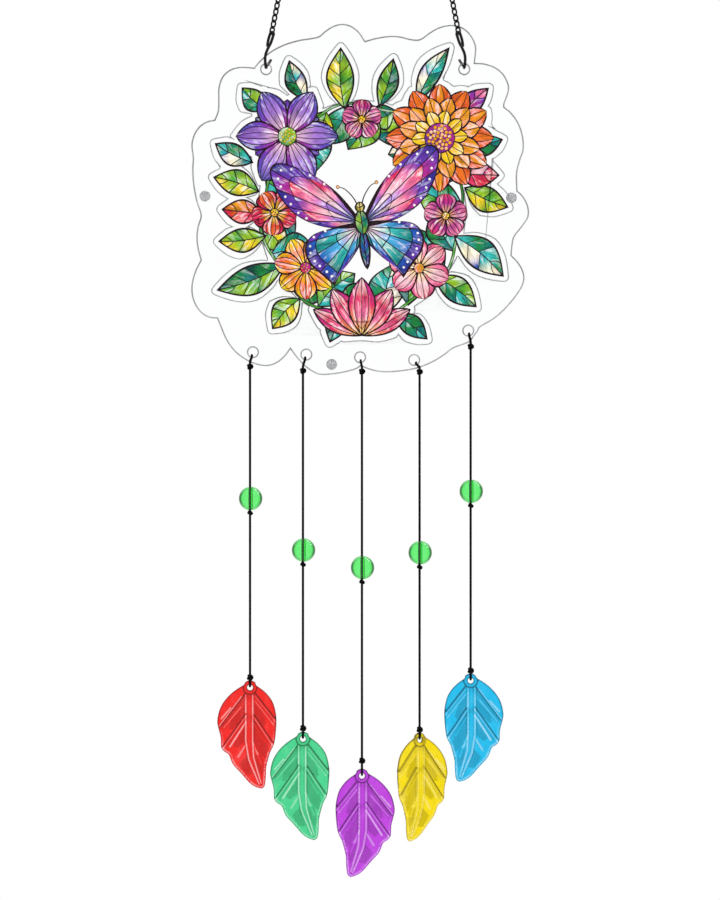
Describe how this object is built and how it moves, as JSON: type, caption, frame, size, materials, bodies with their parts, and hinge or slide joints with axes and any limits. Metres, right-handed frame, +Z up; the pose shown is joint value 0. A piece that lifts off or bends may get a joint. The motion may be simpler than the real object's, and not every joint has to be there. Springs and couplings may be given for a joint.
{
  "type": "suncatcher wind chime",
  "caption": "Clear acrylic suncatcher with a stained-glass style print, hung on chains from a ring, with beads and coloured leaves on cords below.",
  "frame": {"origin": "inner top of the hanging ring, the point the chime hangs from", "axes": "+Z up, +X to the right seen from the printed front, which faces -Y"},
  "size_m": [0.1995, 0.0199, 0.7817],
  "materials": {
    "black_wire": "black coated wire with a low sheen",
    "clear_acrylic": "clear polished acrylic with laser-cut edges",
    "printed_acrylic": "clear acrylic with a see-through print of coloured flowers, leaves and a butterfly",
    "clear_bumper": "clear soft plastic with a frosted face",
    "black_cord": "waxed black cord",
    "green_bead": "clear bright green, polished",
    "red_leaf": "clear red moulded plastic, glossy",
    "green_leaf": "clear green moulded plastic, glossy",
    "purple_leaf": "clear purple moulded plastic, glossy",
    "yellow_leaf": "clear yellow moulded plastic, glossy",
    "blue_leaf": "clear blue moulded plastic, glossy"
  },
  "bodies": {
    "root": {"hanging_ring": "black_wire", "chain_left": "black_wire", "chain_right": "black_wire", "hook_left": "black_wire", "hook_right": "black_wire", "clear_panel": "clear_acrylic", "printed_plate": "printed_acrylic", "bumper_pad_left": "clear_bumper", "bumper_pad_right": "clear_bumper", "bumper_pad_bottom": "clear_bumper", "bead_1": "green_bead", "leaf_1_red": "red_leaf", "bead_2": "green_bead", "leaf_2_green": "green_leaf", "bead_3": "green_bead", "leaf_3_purple": "purple_leaf", "bead_4": "green_bead", "leaf_4_yellow": "yellow_leaf", "bead_5": "green_bead", "leaf_5_blue": "blue_leaf", "cord_1_loop": "black_cord", "top_knot_1": "black_cord", "cord_1": "black_cord", "bead_knot_1": "black_cord", "leaf_knot_1": "black_cord", "cord_1_leaf_loop": "black_cord", "cord_2_loop": "black_cord", "top_knot_2": "black_cord", "cord_2": "black_cord", "bead_knot_2": "black_cord", "leaf_knot_2": "black_cord", "cord_2_leaf_loop": "black_cord", "cord_3_loop": "black_cord", "top_knot_3": "black_cord", "cord_3": "black_cord", "bead_knot_3": "black_cord", "leaf_knot_3": "black_cord", "cord_3_leaf_loop": "black_cord", "cord_4_loop": "black_cord", "top_knot_4": "black_cord", "cord_4": "black_cord", "bead_knot_4": "black_cord", "leaf_knot_4": "black_cord", "cord_4_leaf_loop": "black_cord", "cord_5_loop": "black_cord", "top_knot_5": "black_cord", "cord_5": "black_cord", "bead_knot_5": "black_cord", "leaf_knot_5": "black_cord", "cord_5_leaf_loop": "black_cord"}
  },
  "joints": []
}
